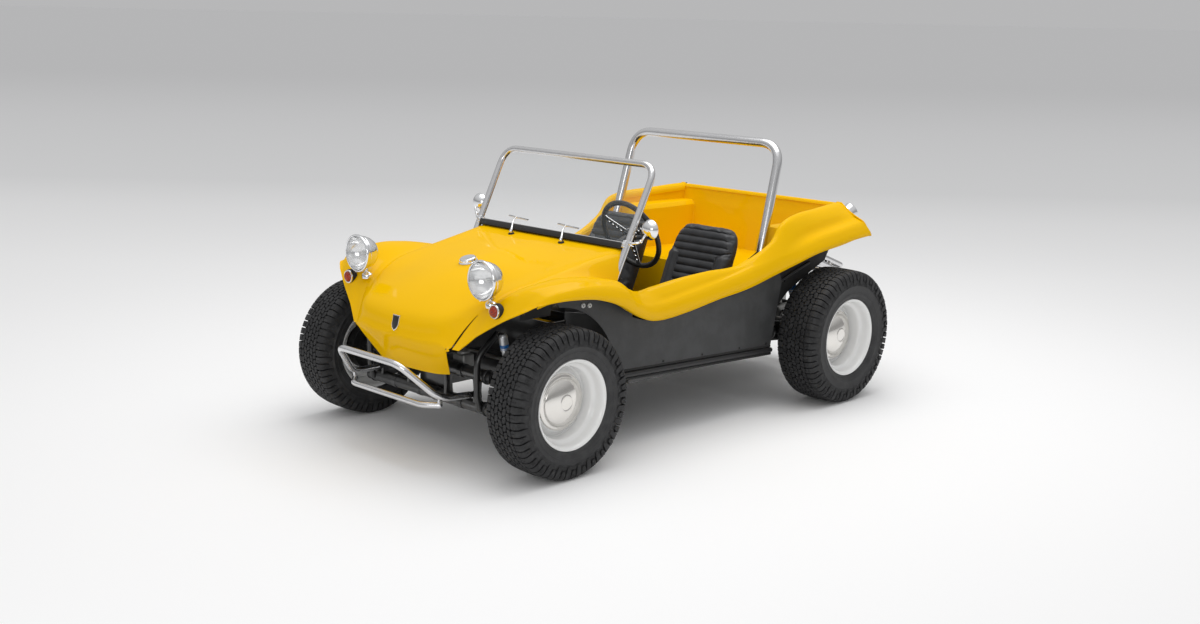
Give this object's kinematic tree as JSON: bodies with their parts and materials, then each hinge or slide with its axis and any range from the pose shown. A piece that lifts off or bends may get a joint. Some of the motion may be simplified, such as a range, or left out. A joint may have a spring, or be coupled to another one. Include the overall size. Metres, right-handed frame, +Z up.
{
  "type": "dune buggy",
  "caption": "Open two-seat dune buggy with a moulded yellow body, folded windshield frame, polished roll bar, tube bumpers, steel wheels and an open rear engine.",
  "frame": {"origin": "on the ground, below the middle of the car's length and width", "axes": "+X to the car's left, -Y towards the front bumper, +Z up"},
  "size_m": [1.748, 3.1256, 1.4079],
  "materials": {
    "body": "gloss",
    "satin_black": "satin",
    "polished_tube": "polished",
    "clear_glass": "clear",
    "chrome_trim": "mirror",
    "lens_glass": "fluted",
    "signal_lens": "gloss",
    "vinyl": "satin",
    "wheel_grip": "satin",
    "chassis_black": "semi-gloss",
    "shock_silver": "satin",
    "forged_steel": "satin",
    "cast_alloy": "cast",
    "exhaust_steel": "satin",
    "tyre": "matt",
    "white_steel": "gloss",
    "drum_iron": "matt"
  },
  "bodies": {
    "chassis": {"body_shell": "body", "hood": "body", "side_panels": "satin_black", "floor_pan": "satin_black", "dashboard": "satin_black", "windshield_frame": "polished_tube", "windshield_glass": "clear_glass", "wipers": "chrome_trim", "headlights": "chrome_trim", "headlight_lenses": "lens_glass", "signal_lights": "signal_lens", "mirrors": "chrome_trim", "hood_trim": "chrome_trim", "front_bumper": "polished_tube", "rear_bumper": "polished_tube", "roll_bar": "polished_tube", "driver_seat": "vinyl", "passenger_seat": "vinyl", "steering_column": "satin_black", "floor_controls": "chrome_trim", "front_beam": "chassis_black", "suspension_arms": "chassis_black", "shock_absorbers": "shock_silver", "transaxle": "cast_alloy", "engine": "cast_alloy", "cooling_housing": "chassis_black", "exhaust": "exhaust_steel"},
    "left_steering_knuckle": {"left_knuckle": "forged_steel"},
    "right_steering_knuckle": {"right_knuckle": "forged_steel"},
    "track_rod": {"tie_rods": "forged_steel"},
    "hand_wheel": {"steering_wheel": "wheel_grip"},
    "front_left_wheel": {"front_left_tyre": "tyre", "front_left_rim": "white_steel", "front_left_hubcap": "chrome_trim", "front_left_drum": "drum_iron"},
    "front_right_wheel": {"front_right_tyre": "tyre", "front_right_rim": "white_steel", "front_right_hubcap": "chrome_trim", "front_right_drum": "drum_iron"},
    "rear_left_wheel": {"rear_left_tyre": "tyre", "rear_left_rim": "white_steel", "rear_left_hubcap": "chrome_trim", "rear_left_drum": "drum_iron"},
    "rear_right_wheel": {"rear_right_tyre": "tyre", "rear_right_rim": "white_steel", "rear_right_hubcap": "chrome_trim", "rear_right_drum": "drum_iron"}
  },
  "joints": [
    {"name": "steer_left", "type": "hinge", "parent": "chassis", "child": "left_steering_knuckle", "pos_m": [0.56, -1.043, 0.345], "axis": [0, 0, 1], "range_deg": [-28, 28]},
    {"name": "steer_right", "type": "hinge", "parent": "chassis", "child": "right_steering_knuckle", "pos_m": [-0.56, -1.043, 0.345], "axis": [0, 0, 1], "range_deg": [-28, 28]},
    {"name": "front_left_spin", "type": "hinge", "parent": "left_steering_knuckle", "child": "front_left_wheel", "pos_m": [0.728, -1.043, 0.345], "axis": [1, 0, 0], "continuous": true},
    {"name": "front_right_spin", "type": "hinge", "parent": "right_steering_knuckle", "child": "front_right_wheel", "pos_m": [-0.728, -1.043, 0.345], "axis": [1, 0, 0], "continuous": true},
    {"name": "rear_left_spin", "type": "hinge", "parent": "chassis", "child": "rear_left_wheel", "pos_m": [0.752, 0.989, 0.361], "axis": [1, 0, 0], "continuous": true},
    {"name": "rear_right_spin", "type": "hinge", "parent": "chassis", "child": "rear_right_wheel", "pos_m": [-0.752, 0.989, 0.361], "axis": [1, 0, 0], "continuous": true},
    {"name": "hand_wheel_turn", "type": "hinge", "parent": "chassis", "child": "hand_wheel", "pos_m": [0.306, -0.158, 0.96], "axis": [0, 0.9135, 0.4067], "range_deg": [-420, 420]},
    {"name": "track_rod_slide", "type": "slide", "parent": "chassis", "child": "track_rod", "axis": [-1, 0, 0], "range_m": [-0.049, 0.049]}
  ],
  "couplings": [
    {"joint": "steer_right", "follows": "steer_left", "ratio": 1},
    {"joint": "hand_wheel_turn", "follows": "steer_left", "ratio": 15},
    {"joint": "track_rod_slide", "follows": "steer_left", "m_per_rad": 0.1}
  ]
}
